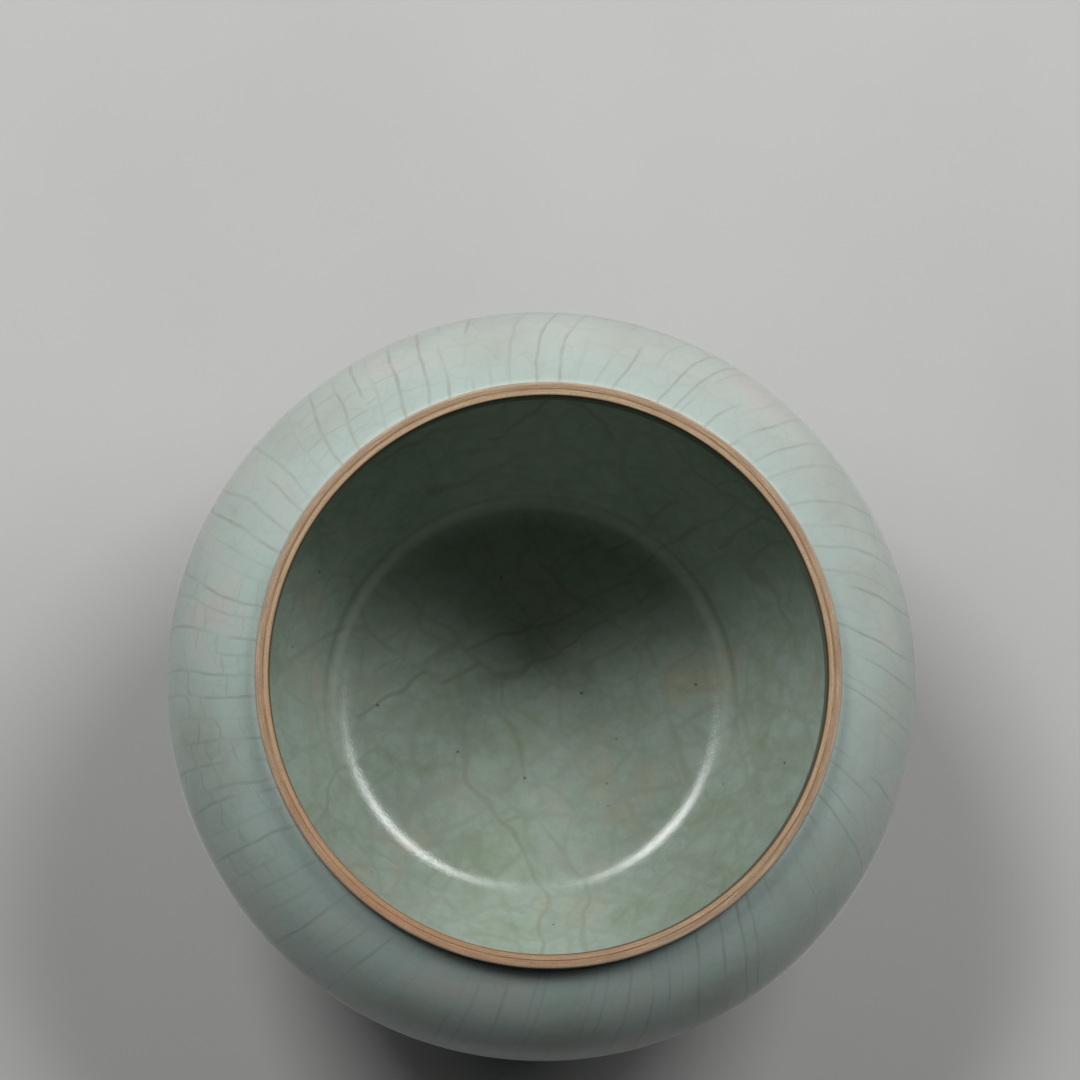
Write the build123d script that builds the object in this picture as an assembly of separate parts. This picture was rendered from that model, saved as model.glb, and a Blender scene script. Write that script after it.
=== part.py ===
from build123d import *
import os

# Wide-mouthed globular pot: a stoneware body turned on the wheel, with a thick celadon glaze
# outside, inside and under the base. The lip and the foot ring are left bare.
# Millimetres. The origin is the middle of the foot's resting plane and +Z is the pot's axis.
# Every piece is a solid of revolution, so each outline below is given as (radius, height).

# Glazed size and the places of the belly
belly_diameter = 150.0        # over the outer glaze, at the widest point
belly_height = 66.0           # widest point, above the foot's plane
shoulder_rise = 28.0          # widest point up to the top of the lip
turn_above_belly = 15.0       # how softly the belly turns into the shoulder
turn_below_belly = 20.0       # how softly the belly turns into the lower wall
fullness = 0.65               # 2/3 is a flat bow, lower is flatter, higher is fuller

# Bare lip
mouth_diameter = 107.6        # bore of the lip
lip_width = 2.7
collar_rise = 2.8             # bare outside, above the shoulder's glaze
bare_bore_depth = 5.4         # bare inside, below the top of the lip
lip_outer_round = 0.6
lip_inner_round = 0.3
groove_set_in = 1.0           # turning groove, from the bore
groove_width = 0.4
groove_depth = 0.12

# Clay and glaze thickness
wall = 4.0
floor_thickness = 5.0
outer_glaze_coat = 0.7
inner_glaze_coat = 0.6
base_glaze_coat = 0.5

# Foot ring and the inside floor
foot_diameter = 86.0
foot_width = 5.0
foot_rise = 5.0               # bare outside, up to the outer glaze
foot_round = 0.8
recess_depth = 5.5            # foot's plane up to the bare clay under the base
floor_set_in = 0.6            # corner of the inside floor, in from the foot's outside
floor_corner_round = 10.0     # over the inner glaze
base_corner_round = 2.0       # under the base glaze
base_glaze_edge = 2.0         # foot's plane up to the edge of the base glaze

# Sizes that follow
height = belly_height + shoulder_rise
mouth_radius = mouth_diameter / 2
lip_radius = mouth_radius + lip_width
foot_radius = foot_diameter / 2
recess_radius = foot_radius - foot_width
clay_radius = belly_diameter / 2 - outer_glaze_coat
cavity_radius = clay_radius - wall
collar_foot = height - collar_rise - outer_glaze_coat
bare_bore_end = height - bare_bore_depth
clay_floor = recess_depth + floor_thickness
corner_radius = foot_radius - floor_set_in


def bow(start, corner, end):
    """A curve that leaves start towards corner and comes to end from corner."""
    start, corner, end = Vector(*start), Vector(*corner), Vector(*end)
    leave = start + (corner - start) * fullness
    arrive = end + (corner - end) * fullness
    return Bezier(start, leave, arrive, end)


def turned(outline, rounded=()):
    """The solid turned from an outline, with (radius, height, rounding) corners."""
    section = make_face(outline)
    for radius, level, rounding in rounded:
        corner = section.vertices().sort_by_distance((radius, level))[0]
        section = fillet(corner, rounding)
    return revolve(Plane.XZ * section, Axis.Z)


def outside_curve(coat):
    """The outside from the collar to the foot, at a coat's thickness over the clay."""
    widest = clay_radius + coat
    shoulder = bow((lip_radius, collar_foot + coat), (widest, belly_height + turn_above_belly),
                   (widest, belly_height))
    lower_wall = bow((widest, belly_height), (widest, belly_height - turn_below_belly),
                     (foot_radius + coat, foot_rise))
    return [shoulder, lower_wall]


def inside_curve(coat):
    """The inside from the bare bore to the middle of the floor, at a coat's thickness."""
    widest = cavity_radius - coat
    floor = clay_floor + coat
    shoulder = bow((mouth_radius, bare_bore_end - coat), (widest, belly_height + turn_above_belly),
                   (widest, belly_height))
    lower_wall = bow((widest, belly_height), (widest, belly_height - turn_below_belly),
                     (corner_radius, floor))
    return [shoulder, lower_wall, Line((corner_radius, floor), (0, floor))]


def lip_line():
    """The lip from its outside to its bore, with the turning groove in its top."""
    groove_inner = mouth_radius + groove_set_in
    groove_outer = groove_inner + groove_width
    groove_floor = height - groove_depth
    return Polyline((lip_radius, collar_foot), (lip_radius, height), (groove_outer, height),
                    (groove_outer, groove_floor), (groove_inner, groove_floor),
                    (groove_inner, height), (mouth_radius, height), (mouth_radius, bare_bore_end))


def foot_line():
    """The foot ring and the recess under the base, out from the middle."""
    return Polyline((0, clay_floor), (0, recess_depth), (recess_radius, recess_depth),
                    (recess_radius, 0), (foot_radius, 0), (foot_radius, foot_rise))


def clay_body():
    outline = outside_curve(0) + [lip_line()] + inside_curve(0) + [foot_line()]
    return turned(outline, [
        (lip_radius, height, lip_outer_round),
        (mouth_radius, height, lip_inner_round),
        (corner_radius, clay_floor, floor_corner_round + inner_glaze_coat),
        (recess_radius, recess_depth, base_corner_round + base_glaze_coat),
        (recess_radius, 0, foot_round),
        (foot_radius, 0, foot_round),
    ])


def outer_glaze():
    edges = [Line((lip_radius, collar_foot), (lip_radius, collar_foot + outer_glaze_coat)),
             Line((foot_radius, foot_rise), (foot_radius + outer_glaze_coat, foot_rise))]
    return turned(outside_curve(0) + outside_curve(outer_glaze_coat) + edges)


def inner_glaze():
    clay_side = inside_curve(0)
    free_side = inside_curve(inner_glaze_coat)
    edges = [Line((mouth_radius, bare_bore_end), (mouth_radius, bare_bore_end - inner_glaze_coat)),
             Line((0, clay_floor), (0, clay_floor + inner_glaze_coat))]
    return turned(clay_side + free_side + edges, [
        (corner_radius, clay_floor, floor_corner_round + inner_glaze_coat),
        (corner_radius, clay_floor + inner_glaze_coat, floor_corner_round),
    ])


def base_glaze():
    under = recess_depth - base_glaze_coat
    glazed_radius = recess_radius - base_glaze_coat
    outline = Polyline((0, under), (0, recess_depth), (recess_radius, recess_depth),
                       (recess_radius, base_glaze_edge), (glazed_radius, base_glaze_edge),
                       (glazed_radius, under), close=True)
    return turned([outline], [
        (recess_radius, recess_depth, base_corner_round + base_glaze_coat),
        (glazed_radius, under, base_corner_round),
    ])


pieces = {
    "clay_body": clay_body(),
    "outer_glaze": outer_glaze(),
    "inner_glaze": inner_glaze(),
    "base_glaze": base_glaze(),
}

os.makedirs("parts", exist_ok=True)
for name, solid in pieces.items():
    solid.label = name
    export_step(solid, f"parts/{name}.step")
    print(name, round(solid.volume / 1000, 2), "cm3", solid.bounding_box().size)
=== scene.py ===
import math

import bpy
from mathutils import Matrix, Vector


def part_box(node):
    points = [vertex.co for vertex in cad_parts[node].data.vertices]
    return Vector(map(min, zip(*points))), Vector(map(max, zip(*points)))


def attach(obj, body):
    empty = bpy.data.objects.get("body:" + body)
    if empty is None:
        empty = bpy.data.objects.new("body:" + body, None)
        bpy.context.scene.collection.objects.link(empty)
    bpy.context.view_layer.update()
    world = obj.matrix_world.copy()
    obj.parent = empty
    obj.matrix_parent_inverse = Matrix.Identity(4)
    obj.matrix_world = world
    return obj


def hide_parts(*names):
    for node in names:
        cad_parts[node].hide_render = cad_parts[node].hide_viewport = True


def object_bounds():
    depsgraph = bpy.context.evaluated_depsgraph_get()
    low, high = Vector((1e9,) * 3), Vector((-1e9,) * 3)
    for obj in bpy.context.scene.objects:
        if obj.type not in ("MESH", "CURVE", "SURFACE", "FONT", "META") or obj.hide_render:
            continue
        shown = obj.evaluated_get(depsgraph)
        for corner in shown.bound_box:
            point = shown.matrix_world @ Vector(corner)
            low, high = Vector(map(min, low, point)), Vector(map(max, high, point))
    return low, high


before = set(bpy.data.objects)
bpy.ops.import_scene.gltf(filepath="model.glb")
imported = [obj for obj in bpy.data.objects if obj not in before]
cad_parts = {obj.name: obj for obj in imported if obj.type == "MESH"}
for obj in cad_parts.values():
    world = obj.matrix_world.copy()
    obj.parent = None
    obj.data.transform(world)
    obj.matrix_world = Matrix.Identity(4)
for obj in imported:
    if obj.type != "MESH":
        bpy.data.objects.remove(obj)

cad_low, cad_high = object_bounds()

# ---------------------------------------------------------------------------------------------
# The view. The pot stands on its foot with its mouth up, and the camera looks down into it from
# about 0.6 m, leaning a few degrees towards -Y and -X, with the pot low in the frame.
# ---------------------------------------------------------------------------------------------
MM = 0.001
mouth_centre = Vector((0, 0, cad_high.z))
lean_x, lean_y = -0.0478, -0.1158
to_eye = Vector((lean_x, lean_y, math.sqrt(1 - lean_x ** 2 - lean_y ** 2)))
eye_distance = 620 * MM
shift_left, shift_up = 1.9, 25.35
frame_right = Vector((0, 1, 0)).cross(to_eye).normalized()
frame_up = to_eye.cross(frame_right)

eye = bpy.data.cameras.new("eye")
eye.sensor_width, eye.lens = 36, 107.7
camera = bpy.data.objects.new("eye", eye)
bpy.context.scene.collection.objects.link(camera)
place = (mouth_centre + to_eye * eye_distance
         - frame_right * shift_left * MM + frame_up * shift_up * MM)
camera.matrix_world = Matrix.Translation(place) @ Matrix(
    (frame_right, frame_up, to_eye)).transposed().to_4x4()
bpy.context.scene.camera = camera
bpy.context.scene.view_settings.view_transform = "Standard"


# ---------------------------------------------------------------------------------------------
# The floor and the light. A plain pale sheet of painted board, a softbox on each side above the
# pot's far edge, a wider and weaker one behind each, and a very little light from all round.
# ---------------------------------------------------------------------------------------------
def linear(colour):
    """The linear colour of an sRGB hex colour such as b08a63."""
    channels = [int(colour[i:i + 2], 16) / 255 for i in (0, 2, 4)]
    return [c / 12.92 if c <= 0.04045 else ((c + 0.055) / 1.055) ** 2.4 for c in channels] + [1]


def new_material(name):
    """A material with nothing in it but its shader and its output, and the shader."""
    made = bpy.data.materials.new(name)
    made.use_nodes = True
    return made, made.node_tree.nodes["Principled BSDF"]


def node(owner, kind, inputs=None, stops=None, give=None, **settings):
    """Adds a node of a kind with its settings. inputs gives each socket a value or the socket
    it is fed from, and stops gives a colour ramp's places and colours. Returns the output that
    give names, or the first one that is in use."""
    made = owner.node_tree.nodes.new("ShaderNode" + kind)
    for name, value in settings.items():
        setattr(made, name, value)
    for socket, value in (inputs or {}).items():
        if isinstance(value, bpy.types.NodeSocket):
            owner.node_tree.links.new(value, made.inputs[socket])
        else:
            made.inputs[socket].default_value = value
    for i, (position, colour) in enumerate(stops or []):
        ramp = made.color_ramp.elements
        stop = ramp[i] if i < 2 else ramp.new(position)
        stop.position, stop.color = position, colour
    return made.outputs[give] if give else next(o for o in made.outputs if o.enabled)


def feed(owner, shader, socket, source):
    owner.node_tree.links.new(source, shader.inputs[socket])


# Painted board: smooth, matt and a little uneven, so it takes soft shadows without a pattern.
painted_board, shader = new_material("painted_board")
where = node(painted_board, "TexCoord", give="Object")
clouds = node(painted_board, "TexNoise", {"Vector": where, "Scale": 6.0, "Detail": 4.0})
feed(painted_board, shader, "Base Color", node(
    painted_board, "ValToRGB", {"Fac": clouds},
    [(0.3, linear("adadab")), (0.7, linear("b6b6b4"))]))
shader.inputs["Roughness"].default_value = 0.85

bpy.ops.object.select_all(action="DESELECT")
bpy.ops.mesh.primitive_plane_add(size=6.0)
board = bpy.context.object
board.name = "board"
board.data.materials.append(painted_board)


def softbox(name, bearing, rise, distance, width, height, power):
    """A softbox facing the mouth, from a bearing round the pot and a rise over the mouth."""
    lamp = bpy.data.lights.new(name, "AREA")
    lamp.shape, lamp.size, lamp.size_y, lamp.energy = "RECTANGLE", width, height, power
    holder = bpy.data.objects.new(name, lamp)
    bpy.context.scene.collection.objects.link(holder)
    bearing, rise = math.radians(bearing), math.radians(rise)
    away = Vector((math.cos(rise) * math.cos(bearing), math.cos(rise) * math.sin(bearing),
                   math.sin(rise)))
    holder.location = mouth_centre + away * distance
    holder.rotation_mode = "QUATERNION"
    holder.rotation_quaternion = away.to_track_quat("Z", "Y")


softbox("softbox_right", 50, 51.5, 0.9, 0.34, 0.22, 3.6)
softbox("softbox_right_edge", 38, 49, 0.9, 0.5, 0.3, 2.35)
softbox("softbox_left", 127, 51, 0.9, 0.32, 0.22, 4.6)
softbox("softbox_left_edge", 138, 50, 0.9, 0.5, 0.3, 1.45)
world = bpy.data.worlds.new("studio")
world.use_nodes = True
world.node_tree.nodes["Background"].inputs["Color"].default_value = linear("8c9298")
world.node_tree.nodes["Background"].inputs["Strength"].default_value = 0.048
bpy.context.scene.world = world


# ---------------------------------------------------------------------------------------------
# The clay body. Grey stoneware clay turned on the wheel to one wall from the lip to the foot
# ring. The lip, the first few millimetres of the bore and the foot ring were wiped clean of
# glaze before firing, so there the bare clay shows.
# ---------------------------------------------------------------------------------------------
lip_top = cad_high.z / MM
clay_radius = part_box("clay_body")[1].x / MM
belly_height, turn_above, turn_below, fullness = 66.0, 15.0, 20.0, 0.65
mouth_radius, lip_radius = 53.8, 56.5
wall, outer_coat, inner_coat, base_coat = 4.0, 0.7, 0.6, 0.5
collar_foot, bare_bore_end = lip_top - 3.5, lip_top - 5.4
foot_radius, foot_rise, foot_width, recess_depth = 43.0, 5.0, 5.0, 5.5
clay_floor, floor_corner, floor_round = 10.5, 42.4, 10.0


def bow(start, corner, end, steps):
    """Points along the curve that leaves start towards corner and comes to end from corner."""
    start, corner, end = Vector(start), Vector(corner), Vector(end)
    leave, arrive = start.lerp(corner, fullness), end.lerp(corner, fullness)
    points = []
    for i in range(steps + 1):
        t = i / steps
        points.append(start * (1 - t) ** 3 + leave * 3 * (1 - t) ** 2 * t
                      + arrive * 3 * (1 - t) * t ** 2 + end * t ** 3)
    return points


def arc(centre, radius, start, end, steps):
    """Points round a centre from one angle to another, in degrees."""
    angles = [math.radians(start + (end - start) * i / steps) for i in range(steps + 1)]
    return [Vector((centre[0] + radius * math.cos(a), centre[1] + radius * math.sin(a)))
            for a in angles]


def straight(start, end, steps):
    return [Vector(start).lerp(Vector(end), i / steps) for i in range(steps + 1)]


def outside(coat, steps):
    """The outside from the collar to the foot, over a coat of glaze."""
    widest = clay_radius + coat
    return (bow((lip_radius, collar_foot + coat), (widest, belly_height + turn_above),
                (widest, belly_height), steps)
            + bow((widest, belly_height), (widest, belly_height - turn_below),
                  (foot_radius + coat, foot_rise), steps)[1:])


def inside(coat, steps):
    """The inside from the middle of the floor to the bare bore, over a coat of glaze."""
    widest = clay_radius - wall - coat
    floor = clay_floor + coat
    corner, above = Vector((floor_corner, floor)), Vector((widest, belly_height - turn_below))
    rounding = floor_round + inner_coat - coat
    slope = math.atan2(above.y - corner.y, above.x - corner.x)
    reach = rounding * math.tan(slope / 2)
    lower_wall = [point for point in bow(corner, above, (widest, belly_height), steps)
                  if (point - corner).length > reach]
    return (straight((0, floor), (floor_corner - reach, floor), steps)[:-1]
            + arc((floor_corner - reach, floor + rounding), rounding, -90,
                  math.degrees(slope) - 90, 12)
            + lower_wall
            + bow((widest, belly_height), (widest, belly_height + turn_above),
                  (mouth_radius, bare_bore_end - coat), steps)[1:])


def lathe(name, outline, steps):
    """Spins a closed outline of (radius, height) points, in millimetres, round the pot's axis.
    Where the outline starts and ends on the axis, it is left open there."""
    bpy.ops.object.select_all(action="DESELECT")
    bpy.ops.mesh.primitive_circle_add(vertices=len(outline), radius=lip_radius * MM)
    made = bpy.context.object
    made.name = made.data.name = name
    for vertex, point in zip(made.data.vertices, outline):
        vertex.co = (point[0] * MM, 0, point[1] * MM)
    on_axis = {i for i, point in enumerate(outline) if point[0] == 0}
    bpy.ops.object.mode_set(mode="EDIT")
    bpy.ops.mesh.select_mode(type="EDGE")
    bpy.ops.mesh.select_all(action="DESELECT")
    bpy.ops.object.mode_set(mode="OBJECT")
    for edge in made.data.edges:
        edge.select = set(edge.vertices) <= on_axis
    bpy.ops.object.mode_set(mode="EDIT")
    bpy.ops.mesh.delete(type="EDGE")
    bpy.ops.mesh.select_all(action="SELECT")
    bpy.ops.mesh.spin(steps=steps, angle=2 * math.pi, center=(0, 0, 0), axis=(0, 0, 1))
    bpy.ops.mesh.select_all(action="SELECT")
    bpy.ops.mesh.remove_doubles(threshold=0.002 * MM)
    bpy.ops.mesh.normals_make_consistent(inside=False)
    bpy.ops.object.mode_set(mode="OBJECT")
    bpy.ops.object.shade_smooth()
    return made


def finish(name, kind, **settings):
    """Adds a modifier to the piece in hand and applies it."""
    bpy.ops.object.modifier_add(type=kind)
    modifier = bpy.context.object.modifiers[-1]
    modifier.name = name
    for setting, value in settings.items():
        setattr(modifier, setting, value)
    bpy.ops.object.modifier_apply(modifier=name)


lip_width = lip_radius - mouth_radius
lip_outer_round, lip_inner_round = 0.6, 0.3
groove_centre, groove_half, groove_depth = mouth_radius + 1.2, 0.2, 0.12
tool_line_depth, tool_line_spacing, tool_lines_end = 0.012, 0.36, lip_radius - 0.3


def lip_height(radius):
    """The lip's turned top: a rounded edge each side, a shallow groove, and fine tool lines."""
    drop = 0.0
    if radius > lip_radius - lip_outer_round:
        across = (radius - lip_radius + lip_outer_round) / lip_outer_round
        drop += lip_outer_round * (1 - math.sqrt(max(0.0, 1 - across ** 2)))
    if radius < mouth_radius + lip_inner_round:
        across = (mouth_radius + lip_inner_round - radius) / lip_inner_round
        drop += lip_inner_round * (1 - math.sqrt(max(0.0, 1 - across ** 2)))
    away = abs(radius - groove_centre) / groove_half
    if away < 1:
        drop += groove_depth * (0.5 + 0.5 * math.cos(math.pi * away))
    if groove_centre + groove_half < radius < tool_lines_end:
        across = (radius - groove_centre) / tool_line_spacing
        drop += tool_line_depth * (0.5 + 0.5 * math.cos(2 * math.pi * across))
    return lip_top - drop


lip_steps, turn_steps = 54, 288
lip_line = [Vector((mouth_radius + lip_width * (0.5 - 0.5 * math.cos(math.pi * i / lip_steps)), 0))
            for i in range(lip_steps + 1)]
for point in lip_line:
    point.y = lip_height(point.x)

recess_radius = foot_radius - foot_width
foot_edge = 0.8
base_round = 2.5
foot_line = (
    straight((foot_radius, foot_rise), (foot_radius, foot_edge), 8)[1:-1]
    + arc((foot_radius - foot_edge, foot_edge), foot_edge, 0, -90, 6)
    + straight((foot_radius - foot_edge, 0), (recess_radius + foot_edge, 0), 6)[1:-1]
    + arc((recess_radius + foot_edge, foot_edge), foot_edge, 270, 180, 6)
    + arc((recess_radius - base_round, recess_depth - base_round), base_round, 0, 90, 8)
    + [Vector((0, recess_depth))])

clay_outline = (inside(0, 20)
                + straight((mouth_radius, bare_bore_end), (mouth_radius, lip_line[0].y), 8)[1:-1]
                + lip_line
                + straight((lip_radius, lip_line[-1].y), (lip_radius, collar_foot), 6)[1:-1]
                + outside(0, 20) + foot_line)
clay_body = lathe("clay_body_fired", clay_outline, turn_steps)

# Fired stoneware, bare and wheel-turned: dry and matt, with streaks that run round with the
# turning tool, iron specks, an orange flush on the side that faced the flame, and dark brown
# down the bare bore and over the lip's inner edge.
# A little below the lip, inside and out, a wash of glaze has run over it.
bare_stoneware, shader = new_material("bare_wheel_turned_stoneware")


def pot_places(owner):
    """The place on the pot in millimetres, its distance from the axis, and the direction round."""
    where = node(owner, "TexCoord", give="Object")
    in_mm = node(owner, "VectorMath", {0: where, "Scale": 1000.0}, operation="SCALE")
    flat_mm = node(owner, "VectorMath", {0: in_mm, 1: (1, 1, 0)}, operation="MULTIPLY")
    radius_mm = node(owner, "VectorMath", {0: flat_mm}, give="Value", operation="LENGTH")
    bearing = node(owner, "VectorMath", {0: flat_mm}, operation="NORMALIZE")
    height_mm = node(owner, "SeparateXYZ", {"Vector": in_mm}, give="Z")
    return in_mm, radius_mm, bearing, height_mm


in_mm, radius_mm, bearing, height_mm = pot_places(bare_stoneware)
across_tool = node(bare_stoneware, "Math", {0: radius_mm, 1: height_mm}, operation="ADD")
across_tool = node(bare_stoneware, "CombineXYZ", {"Z": across_tool})
tool_path = node(bare_stoneware, "VectorMath", {0: bearing, 1: (2.2, 2.2, 0), 2: across_tool},
                 operation="MULTIPLY_ADD")
streaks = node(bare_stoneware, "TexNoise", {"Vector": tool_path, "Scale": 3.2, "Detail": 3.0,
                                            "Roughness": 0.6})
grain = node(bare_stoneware, "TexNoise", {"Vector": in_mm, "Scale": 2.6, "Detail": 4.0,
                                          "Roughness": 0.7})
wobble = node(bare_stoneware, "TexNoise", {"Vector": in_mm, "Scale": 0.06, "Detail": 2.0})
across = node(bare_stoneware, "Math", {0: radius_mm, 1: mouth_radius + 0.25},
              operation="SUBTRACT")
across = node(bare_stoneware, "Math", {0: wobble, 1: 0.5, 2: across}, operation="MULTIPLY_ADD")
across = node(bare_stoneware, "MapRange", {"Value": across, "From Max": lip_width})
lip_colour = node(bare_stoneware, "ValToRGB", {"Fac": across},
                  [(0.0, linear("8a7256")), (1.0, linear("a2998f")), (0.22, linear("a0896c")),
                   (0.36, linear("9b8368")), (0.43, linear("765a43")), (0.52, linear("8b7259")),
                   (0.82, linear("957e67"))])
foot_colour = node(bare_stoneware, "ValToRGB", {"Fac": streaks},
                   [(0.30, linear("82674e")), (0.72, linear("977c61")), (0.5, linear("8d7156"))])
on_lip = node(bare_stoneware, "Math", {0: height_mm, 1: belly_height}, operation="GREATER_THAN")
clay_colour = node(bare_stoneware, "Mix", {"Factor": on_lip, "A": foot_colour,
                                           "B": lip_colour}, give=2, data_type="RGBA")
lit_streaks = node(bare_stoneware, "MapRange", {"Value": streaks, "From Min": 0.5,
                                                "From Max": 0.72, "To Max": 0.6})
lit_streaks = node(bare_stoneware, "Math", {0: lit_streaks, 1: on_lip}, operation="MULTIPLY")
clay_colour = node(bare_stoneware, "Mix", {"Factor": lit_streaks, "A": clay_colour,
                                           "B": linear("b9a284")}, give=2, data_type="RGBA")
dark_streaks = node(bare_stoneware, "MapRange", {"Value": streaks, "From Min": 0.48,
                                                 "From Max": 0.3, "To Max": 0.4})
dark_streaks = node(bare_stoneware, "Math", {0: dark_streaks, 1: on_lip}, operation="MULTIPLY")
clay_colour = node(bare_stoneware, "Mix", {"Factor": dark_streaks, "A": clay_colour,
                                           "B": linear("765a42")}, give=2, data_type="RGBA")
flame_side = node(bare_stoneware, "VectorMath", {0: bearing, 1: (-0.6, -0.8, 0)}, give="Value",
                  operation="DOT_PRODUCT")
flush = node(bare_stoneware, "Math", {0: wobble, 1: flame_side}, operation="ADD")
flush = node(bare_stoneware, "MapRange", {"Value": flush, "From Min": 1.0, "From Max": 1.6,
                                          "To Max": 0.55})
clay_colour = node(bare_stoneware, "Mix", {"Factor": flush, "A": clay_colour,
                                           "B": linear("9e7150")}, give=2, data_type="RGBA")
# Dark brown down the bare bore and over the inner rounding of the lip top.
dark_bore_edge = node(bare_stoneware, "MapRange", {"Value": radius_mm, "From Min": mouth_radius + 0.02,
                                          "From Max": mouth_radius + 0.25, "To Min": 0.8,
                                          "To Max": 0.0})
dark_bore_edge = node(bare_stoneware, "Math", {0: dark_bore_edge, 1: on_lip}, operation="MULTIPLY")
clay_colour = node(bare_stoneware, "Mix", {"Factor": dark_bore_edge, "A": clay_colour,
                                           "B": linear("4a3322")}, give=2, data_type="RGBA")
glaze_wash = node(bare_stoneware, "MapRange", {"Value": height_mm, "From Min": lip_top - 1.6,
                                               "From Max": lip_top - 2.4, "To Max": 0.9})
glaze_wash = node(bare_stoneware, "Math", {0: glaze_wash, 1: on_lip}, operation="MULTIPLY")
clay_colour = node(bare_stoneware, "Mix", {"Factor": glaze_wash, "A": clay_colour,
                                           "B": linear("6c7868")}, give=2, data_type="RGBA")
sandy = node(bare_stoneware, "MapRange", {"Value": grain, "From Min": 0.52, "From Max": 0.66,
                                          "To Max": 0.4})
clay_colour = node(bare_stoneware, "Mix", {"Factor": sandy, "A": clay_colour,
                                           "B": linear("6f543d")}, give=2, data_type="RGBA")
specks = node(bare_stoneware, "TexVoronoi", {"Vector": in_mm, "Scale": 1.2}, give="Distance")
specks = node(bare_stoneware, "MapRange", {"Value": specks, "From Min": 0.06, "From Max": 0.14,
                                           "To Min": 0.6, "To Max": 0.0})
clay_colour = node(bare_stoneware, "Mix", {"Factor": specks, "A": clay_colour,
                                           "B": linear("3b2a1e")}, give=2, data_type="RGBA")
feed(bare_stoneware, shader, "Base Color", clay_colour)
relief = node(bare_stoneware, "Math", {0: streaks, 1: grain}, operation="ADD")
feed(bare_stoneware, shader, "Normal", node(
    bare_stoneware, "Bump", {"Strength": 0.5, "Distance": 0.06 * MM, "Height": relief}))
shader.inputs["Roughness"].default_value = 0.8
shader.inputs["IOR"].default_value = 1.45
clay_body.data.materials.append(bare_stoneware)
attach(clay_body, "root")
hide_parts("clay_body")


# ---------------------------------------------------------------------------------------------
# The outer glaze. Celadon glaze, dipped on thickly and fired onto the clay from the collar to
# the foot ring. Its edges rolled over as it melted, and its surface rises and falls a little.
# ---------------------------------------------------------------------------------------------
free_side = outside(outer_coat, 64)
clay_side = outside(0, 24)
roll_width, roll_depth = 0.9, 0.65 * outer_coat
mid_shoulder = free_side[32]
outwards = (mid_shoulder - Vector((30, belly_height))).normalized()
for point in free_side:
    below_collar = (point - free_side[0]).length
    above_foot = (point - free_side[-1]).length
    near = min(below_collar, above_foot) / roll_width
    if near < 1:
        point -= roll_depth * (1 - math.sqrt(1 - (1 - near) ** 2)) * outwards
outer_glaze = lathe("outer_glaze_fired", free_side + clay_side[::-1], turn_steps)
ripple = bpy.data.textures.new("slow_ripple", "CLOUDS")
ripple.noise_scale, ripple.noise_depth = 22 * MM, 1


def ripple_free_side(outwards, depth):
    """Lets the free side of the coat in hand rise and fall by a depth, but not the side that
    lies on the clay. outwards is 1 for a coat outside the pot and -1 for one inside."""
    coat = bpy.context.object
    middle = Vector((0, 0, belly_height * MM))
    free = [v.index for v in coat.data.vertices if outwards * v.normal.dot(v.co - middle) > 0]
    coat.vertex_groups.new(name="free_side").add(free, 1.0, "REPLACE")
    finish("glaze_ripple", "DISPLACE", texture=ripple, texture_coords="LOCAL", mid_level=1.0,
           strength=depth, vertex_group="free_side")


ripple_free_side(1, 0.08 * MM)


def cracks(owner, line, spacing, along, width, seed, ring=None):
    """Soft stains of a width in mm at the whole numbers of line, a coordinate that runs across
    them and has its spacing in mm. Chance moves each one aside, weakens it and breaks it off
    along its length. Gives the stain and the number of the band between two cracks. ring is
    how many there are where they go right round."""
    nearest = node(owner, "Math", {0: line}, operation="ROUND")
    which = nearest if ring is None else node(owner, "Math", {0: nearest, 1: ring},
                                              operation="FLOORED_MODULO")
    which = node(owner, "Math", {0: which, 1: seed}, operation="ADD")
    chance = node(owner, "TexWhiteNoise", {"W": which}, give="Color", noise_dimensions="1D")
    aside = node(owner, "SeparateColor", {"Color": chance}, give="Red")
    past = node(owner, "Math", {0: line, 1: nearest}, operation="SUBTRACT")
    past = node(owner, "Math", {0: aside, 1: -0.6, 2: past}, operation="MULTIPLY_ADD")
    past = node(owner, "Math", {0: past, 1: 0.3}, operation="ADD")
    away = node(owner, "Math", {0: past}, operation="ABSOLUTE")
    away = node(owner, "Math", {0: away, 1: spacing}, operation="MULTIPLY")
    stain = node(owner, "MapRange", {"Value": away, "From Min": 0.08, "From Max": width,
                                     "To Min": 1.0, "To Max": 0.0},
                 interpolation_type="SMOOTHSTEP")
    depth = node(owner, "MapRange", {"Value": aside.node.outputs["Green"], "From Min": 0.1,
                                     "From Max": 0.9, "To Min": 0.3, "To Max": 0.9})
    reach = node(owner, "CombineXYZ", {"X": which, "Y": along})
    reach = node(owner, "VectorMath", {0: reach, 1: (0.77, 0.045, 0)}, operation="MULTIPLY")
    reach = node(owner, "TexNoise", {"Vector": reach, "Scale": 1.0, "Detail": 1.0},
                 noise_dimensions="2D")
    reach = node(owner, "MapRange", {"Value": reach, "From Min": 0.34, "From Max": 0.52})
    stain = node(owner, "Math", {0: stain, 1: depth}, operation="MULTIPLY")
    stain = node(owner, "Math", {0: stain, 1: reach}, operation="MULTIPLY")
    before = node(owner, "Math", {0: past, 1: 0.0}, operation="LESS_THAN")
    band = node(owner, "Math", {0: nearest, 1: before}, operation="SUBTRACT")
    if ring is not None:
        band = node(owner, "Math", {0: band, 1: ring}, operation="FLOORED_MODULO")
    return stain, band


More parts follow.
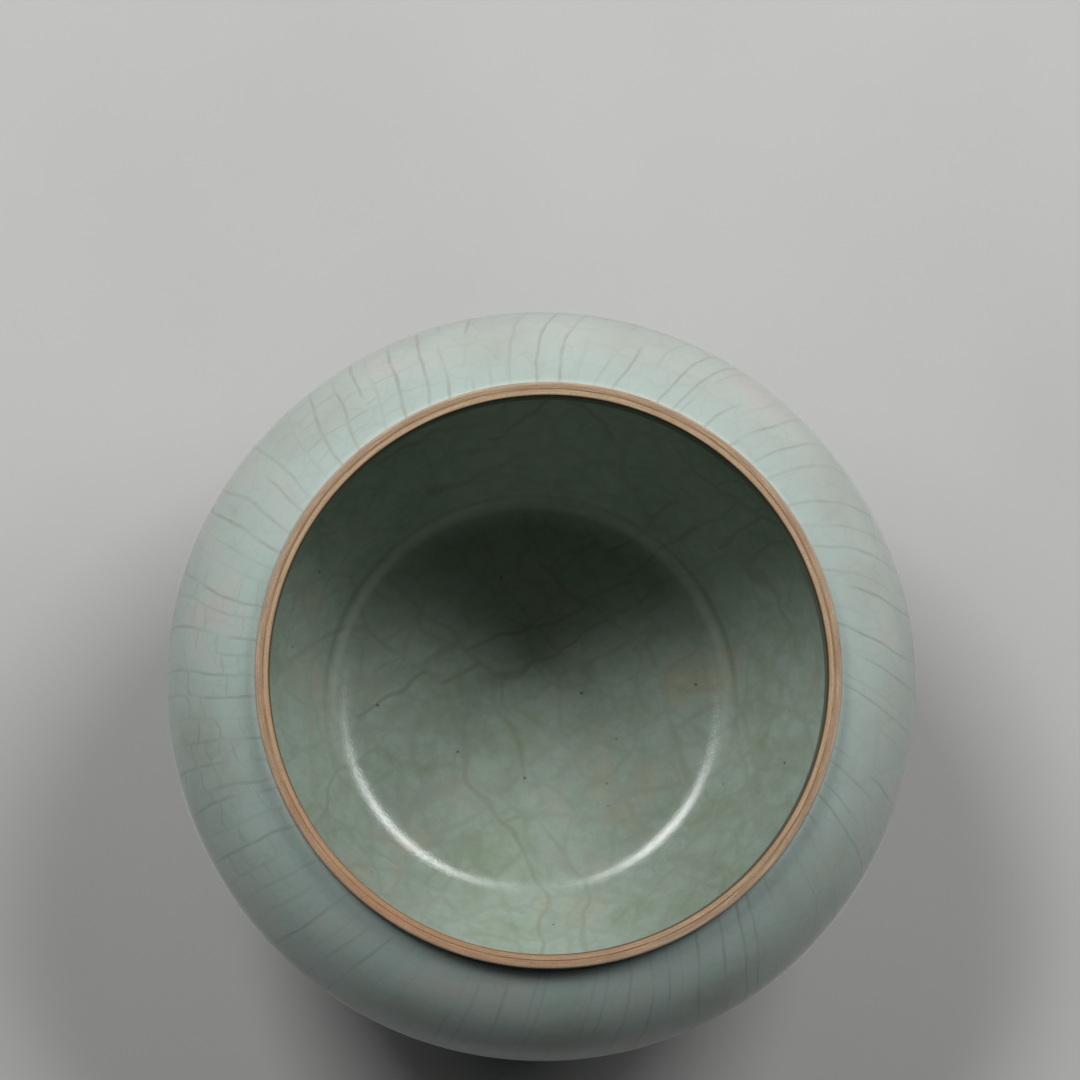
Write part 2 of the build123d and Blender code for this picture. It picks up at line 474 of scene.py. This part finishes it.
def crossing(owner, band, along, rows_apart, wander, width, seed):
    """Short cracks across a band, from one long crack to the next, each band with its own."""
    shift = node(owner, "TexWhiteNoise", {"W": band}, give="Value", noise_dimensions="1D")
    row = node(owner, "Math", {0: along, 1: 1 / rows_apart, 2: shift}, operation="MULTIPLY_ADD")
    row = node(owner, "Math", {0: row, 1: wander}, operation="ADD")
    far_apart = 61.7
    own = node(owner, "Math", {0: band, 1: far_apart}, operation="MULTIPLY")
    return cracks(owner, row, rows_apart, own, width, seed)[0]


# Celadon glaze over crackle: milky grey-green and satin, with bluish and pinkish clouds. On the
# +Y side, towards the softboxes, it is painted paler and pinker: painted light. Long cracks run
# down the side and lean over as they go, crossed in places by short ones that box them in. Each
# is a soft grey-brown stain under the surface. Beside the collar the glaze is thin and matt, and
# painted pale there, partly for the thin glaze and partly as painted light that lifts the collar's
# shadow.
crackled, shader = new_material("crackled_celadon_glaze")
in_mm, radius_mm, bearing, height_mm = pot_places(crackled)
east = node(crackled, "SeparateXYZ", {"Vector": bearing}, give="X")
turn = node(crackled, "Math", {0: east.node.outputs["Y"], 1: east}, operation="ARCTAN2")
# The way down the side is taken as an arc, with its centre and size in mm.
arc_radius, arc_height, arc_size = 40.0, 62.0, 38.0
from_centre = node(crackled, "Math", {0: radius_mm, 1: arc_radius}, operation="SUBTRACT")
over_centre = node(crackled, "Math", {0: height_mm, 1: arc_height}, operation="SUBTRACT")
down_side = node(crackled, "Math", {0: from_centre, 1: over_centre}, operation="ARCTAN2")
down_side = node(crackled, "Math", {0: down_side, 1: arc_size}, operation="MULTIPLY")

cracks_round = 92
sway = node(crackled, "TexNoise", {"Vector": in_mm, "Scale": 0.03, "Detail": 1.0})
kinks = node(crackled, "TexNoise", {"Vector": in_mm, "Scale": 0.14, "Detail": 2.0})
lean = node(crackled, "Math", {0: east, 1: 0.025, 2: 0.045}, operation="MULTIPLY_ADD")
line = node(crackled, "Math", {0: down_side, 1: lean}, operation="MULTIPLY")
line = node(crackled, "Math", {0: turn, 1: cracks_round / math.tau, 2: line},
            operation="MULTIPLY_ADD")
line = node(crackled, "Math", {0: sway, 1: 2.0, 2: line}, operation="MULTIPLY_ADD")
line = node(crackled, "Math", {0: kinks, 1: 0.3, 2: line}, operation="MULTIPLY_ADD")
spacing = node(crackled, "Math", {0: radius_mm, 1: math.tau / cracks_round}, operation="MULTIPLY")
crackle, band = cracks(crackled, line, spacing, down_side, width=0.55, seed=0.5,
                       ring=cracks_round)
wander = node(crackled, "Math", {0: sway, 1: 2.0, 2: kinks}, operation="MULTIPLY_ADD")
boxes = crossing(crackled, band, down_side, rows_apart=6.0, wander=wander, width=0.48,
                 seed=31.3)
boxed = node(crackled, "TexNoise", {"Vector": in_mm, "Scale": 0.025, "Detail": 1.0})
boxed = node(crackled, "Math", {0: east, 1: -0.16, 2: boxed}, operation="MULTIPLY_ADD")
boxed = node(crackled, "MapRange", {"Value": boxed, "From Min": 0.5, "From Max": 0.64,
                                    "To Max": 0.9})
boxes = node(crackled, "Math", {0: boxes, 1: boxed}, operation="MULTIPLY")
crackle = node(crackled, "Math", {0: crackle, 1: boxes}, operation="MAXIMUM")
net = node(crackled, "VectorMath", {0: kinks.node.outputs["Color"], 1: (5, 5, 5), 2: in_mm},
           operation="MULTIPLY_ADD")
net = node(crackled, "TexVoronoi", {"Vector": net, "Scale": 0.16}, feature="DISTANCE_TO_EDGE")
net = node(crackled, "MapRange", {"Value": net, "From Max": 0.06, "To Min": 0.22, "To Max": 0.0},
           interpolation_type="SMOOTHSTEP")
crackle = node(crackled, "Math", {0: crackle, 1: net}, operation="MAXIMUM")
uneven = node(crackled, "TexNoise", {"Vector": in_mm, "Scale": 0.3, "Detail": 3.0})
uneven = node(crackled, "MapRange", {"Value": uneven, "From Min": 0.3, "From Max": 0.65,
                                     "To Min": 0.55})
crackle = node(crackled, "Math", {0: crackle, 1: uneven}, operation="MULTIPLY")

clouds = node(crackled, "TexNoise", {"Vector": in_mm, "Scale": 0.045, "Detail": 4.0,
                                     "Roughness": 0.55})
body = node(crackled, "ValToRGB", {"Fac": clouds},
            [(0.32, linear("8e9a90")), (0.70, linear("abaaa5")), (0.43, linear("95a49a")),
             (0.52, linear("9aada6")), (0.61, linear("a2afa8"))])
# Paler and pinker towards +Y, the side the softboxes light: painted light.
painted_lit_side = node(crackled, "VectorMath", {0: bearing, 1: (0.4, 0.9, 0)}, give="Value",
                   operation="DOT_PRODUCT")
painted_lit_side = node(crackled, "MapRange", {"Value": painted_lit_side, "From Min": -0.8, "To Max": 0.45})
body = node(crackled, "Mix", {"Factor": painted_lit_side, "A": body, "B": linear("b6b2ae")},
            give=2, data_type="RGBA")
mottle = node(crackled, "TexNoise", {"Vector": in_mm, "Scale": 0.42, "Detail": 4.0,
                                     "Roughness": 0.65})
mottle = node(crackled, "MapRange", {"Value": mottle, "From Min": 0.38, "From Max": 0.66,
                                     "To Max": 0.4})
body = node(crackled, "Mix", {"Factor": mottle, "A": body, "B": linear("a8ada6")},
            give=2, data_type="RGBA")
thick_at_lip = node(crackled, "MapRange", {"Value": down_side, "From Min": 20.0,
                                           "From Max": 36.0, "To Min": 0.55, "To Max": 0.0},
                    interpolation_type="SMOOTHSTEP")
body = node(crackled, "Mix", {"Factor": thick_at_lip, "A": body, "B": linear("9bada8")},
            give=2, data_type="RGBA")
# Beside the collar the glaze is thin and matt. Its pale colour there is partly the thin glaze and
# partly painted light that lifts the collar's shadow.
thin_edge_and_painted_light = node(crackled, "MapRange", {"Value": radius_mm, "From Min": lip_radius + 0.1,
                                        "From Max": lip_radius + 1.6, "To Min": 0.7,
                                        "To Max": 0.0}, interpolation_type="SMOOTHSTEP")
on_shoulder = node(crackled, "Math", {0: height_mm, 1: belly_height}, operation="GREATER_THAN")
thin_edge_and_painted_light = node(crackled, "Math", {0: thin_edge_and_painted_light, 1: on_shoulder}, operation="MULTIPLY")
body = node(crackled, "Mix", {"Factor": thin_edge_and_painted_light, "A": body, "B": linear("a8b4aa")},
            give=2, data_type="RGBA")
stain = node(crackled, "Math", {0: crackle, 1: 0.38}, operation="MULTIPLY")
body = node(crackled, "Mix", {"Factor": stain, "A": body, "B": linear("67614f")},
            give=2, data_type="RGBA")
feed(crackled, shader, "Base Color", body)
gloss = node(crackled, "MapRange", {"Value": mottle, "From Max": 0.4, "To Min": 0.30,
                                    "To Max": 0.42})
gloss = node(crackled, "Math", {0: thin_edge_and_painted_light, 1: 0.6, 2: gloss}, operation="MULTIPLY_ADD")
feed(crackled, shader, "Roughness", gloss)
peel = node(crackled, "TexNoise", {"Vector": in_mm, "Scale": 0.5, "Detail": 2.0})
peel = node(crackled, "Math", {0: crackle, 1: -0.3, 2: peel}, operation="MULTIPLY_ADD")
feed(crackled, shader, "Normal", node(
    crackled, "Bump", {"Strength": 0.35, "Distance": 0.06 * MM, "Height": peel}))
shader.inputs["IOR"].default_value = 1.5
shader.inputs["Sheen Weight"].default_value = 0.4
shader.inputs["Sheen Roughness"].default_value = 0.25
outer_glaze.data.materials.append(crackled)
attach(outer_glaze, "root")
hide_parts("outer_glaze")


# ---------------------------------------------------------------------------------------------
# The inner glaze. The same celadon glaze, swilled round inside and poured out before firing. It
# covers the inside from below the bare bore to the middle of the floor, and fired glossier.
# ---------------------------------------------------------------------------------------------
inner_glaze = lathe("inner_glaze_fired", inside(inner_coat, 56) + inside(0, 20)[::-1], turn_steps)
ripple_free_side(-1, 0.12 * MM)


def glossy_celadon(name, tones, depth, roughness, turn_radius):
    """Celadon glaze: glossy, mottled sage green, with a faint golden-brown crackle, a few iron
    specks and pinholes, and an orange-peel surface. depth is how strongly the crackle is stained.
    On the +Y side, low down, a dark ring of painted shade lies in the turn at turn_radius, and a
    pale ring of painted reflection lies just inside it."""
    made, shader = new_material(name)
    in_mm, radius_mm, bearing, height_mm = pot_places(made)
    clouds = node(made, "TexNoise", {"Vector": in_mm, "Scale": 0.055, "Detail": 5.0,
                                     "Roughness": 0.65})
    body = node(made, "ValToRGB", {"Fac": clouds}, tones)
    mottle = node(made, "TexNoise", {"Vector": in_mm, "Scale": 0.3, "Detail": 5.0,
                                     "Roughness": 0.75})
    mottle = node(made, "MapRange", {"Value": mottle, "From Min": 0.4, "From Max": 0.66,
                                     "To Max": 0.3})
    body = node(made, "Mix", {"Factor": mottle, "A": body, "B": linear("7b8475")},
                give=2, data_type="RGBA")
    sway = node(made, "TexNoise", {"Vector": in_mm, "Scale": 0.025, "Detail": 3.0})
    across = node(made, "VectorMath", {0: in_mm, 1: (0.052, 0.034, 0.03)}, give="Value",
                  operation="DOT_PRODUCT")
    across = node(made, "Math", {0: sway, 1: 2.2, 2: across}, operation="MULTIPLY_ADD")
    along = node(made, "VectorMath", {0: in_mm, 1: (-0.55, 0.83, 0.3)}, give="Value",
                 operation="DOT_PRODUCT")
    wide, band = cracks(made, across, spacing=15.0, along=along, width=1.2, seed=7.3)
    wander = node(made, "Math", {0: sway, 1: 3.0}, operation="MULTIPLY")
    ties = crossing(made, band, along, rows_apart=12.0, wander=wander, width=1.1, seed=3.7)
    fine = node(made, "TexNoise", {"Vector": in_mm, "Scale": 0.07, "Detail": 3.0}, give="Color")
    fine = node(made, "VectorMath", {0: fine, 1: (9, 9, 9), 2: in_mm}, operation="MULTIPLY_ADD")
    fine = node(made, "TexVoronoi", {"Vector": fine, "Scale": 0.1}, feature="DISTANCE_TO_EDGE")
    fine = node(made, "MapRange", {"Value": fine, "From Max": 0.11, "To Min": 0.34,
                                   "To Max": 0.0}, interpolation_type="SMOOTHSTEP")
    crackle = node(made, "Math", {0: wide, 1: ties}, operation="MAXIMUM")
    crackle = node(made, "Math", {0: crackle, 1: fine}, operation="MAXIMUM")
    uneven = node(made, "MapRange", {"Value": mottle, "From Max": 0.3, "To Min": depth,
                                     "To Max": depth / 2})
    crackle = node(made, "Math", {0: crackle, 1: uneven}, operation="MULTIPLY")
    body = node(made, "Mix", {"Factor": crackle, "A": body, "B": linear("665c33")},
                give=2, data_type="RGBA")
    specks = node(made, "TexVoronoi", {"Vector": in_mm, "Scale": 0.16}, give="Distance")
    few = node(made, "SeparateColor", {"Color": specks.node.outputs["Color"]}, give="Red")
    few = node(made, "Math", {0: few, 1: 0.45}, operation="GREATER_THAN")
    specks = node(made, "MapRange", {"Value": specks, "From Min": 0.03, "From Max": 0.075,
                                     "To Min": 0.6, "To Max": 0.0})
    specks = node(made, "Math", {0: specks, 1: few}, operation="MULTIPLY")
    body = node(made, "Mix", {"Factor": specks, "A": body, "B": linear("2c2b20")},
                give=2, data_type="RGBA")
    past_turn = node(made, "Math", {0: radius_mm, 1: turn_radius}, operation="SUBTRACT")
    low_down = node(made, "Math", {0: height_mm, 1: belly_height / 2}, operation="LESS_THAN")
    # The +Y side, which inside the pot is the side in shade under the lip.
    plus_y_side = node(made, "VectorMath", {0: bearing, 1: (0, 1, 0)}, give="Value",
                   operation="DOT_PRODUCT")
    plus_y_side = node(made, "MapRange", {"Value": plus_y_side, "From Min": -0.4, "From Max": 0.5})
    low_down = node(made, "Math", {0: low_down, 1: plus_y_side}, operation="MULTIPLY")
    # A dark ring of painted shade in the turn, and a pale ring of painted reflection just inside
    # it.
    for offset, reach, amount, tone in ((0.0, 0.9, 0.4, "4d5a48"), (1.9, 1.3, 0.4, "c2ccbd")):
        ring = node(made, "Math", {0: past_turn, 1: offset}, operation="ADD")
        ring = node(made, "Math", {0: ring}, operation="ABSOLUTE")
        ring = node(made, "MapRange", {"Value": ring, "From Min": 0.1, "From Max": reach,
                                       "To Min": amount, "To Max": 0.0},
                    interpolation_type="SMOOTHSTEP")
        ring = node(made, "Math", {0: ring, 1: low_down}, operation="MULTIPLY")
        body = node(made, "Mix", {"Factor": ring, "A": body, "B": linear(tone)},
                    give=2, data_type="RGBA")
    feed(made, shader, "Base Color", body)
    gloss = node(made, "MapRange", {"Value": clouds, "From Min": 0.3, "From Max": 0.7,
                                    "To Min": roughness, "To Max": roughness + 0.06})
    feed(made, shader, "Roughness", gloss)
    peel = node(made, "TexNoise", {"Vector": in_mm, "Scale": 2.6, "Detail": 2.0,
                                   "Roughness": 0.7})
    feed(made, shader, "Normal", node(
        made, "Bump", {"Strength": 1.0, "Distance": 0.045 * MM, "Height": peel}))
    shader.inputs["IOR"].default_value = 1.5
    return made


inner_celadon = glossy_celadon("glossy_celadon_glaze", [
    (0.32, linear("8d9b89")), (0.68, linear("a5a795")), (0.44, linear("96a495")),
    (0.52, linear("9baa9f")), (0.60, linear("9fa89b"))],
    depth=0.4, roughness=0.14, turn_radius=44.5)
inner_glaze.data.materials.append(inner_celadon)
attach(inner_glaze, "root")
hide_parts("inner_glaze")


# ---------------------------------------------------------------------------------------------
# The base glaze. The same celadon glaze, dabbed into the recess inside the foot ring and fired
# on. It stops short of the tread, which is bare so that the pot didn't stick in the kiln.
# ---------------------------------------------------------------------------------------------
under, base_edge = recess_depth - base_coat, 2.0
glazed_radius = recess_radius - base_coat
inner_round = base_round - base_coat
base_glaze = lathe("base_glaze_fired", (
    straight((0, under), (glazed_radius - inner_round, under), 16)[:-1]
    + arc((glazed_radius - inner_round, under - inner_round), inner_round, 90, 0, 8)
    + straight((glazed_radius, base_edge + 0.4), (recess_radius, base_edge), 3)
    + arc((recess_radius - base_round, recess_depth - base_round), base_round, 0, 90, 8)
    + [Vector((0, recess_depth))]), 192)
base_celadon = glossy_celadon("dabbed_celadon_glaze", [
    (0.30, linear("8d998a")), (0.70, linear("a3a698")), (0.45, linear("94a195")),
    (0.58, linear("9aa79f"))],
    depth=0.3, roughness=0.3, turn_radius=recess_radius - 0.5)
base_glaze.data.materials.append(base_celadon)
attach(base_glaze, "root")
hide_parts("base_glaze")
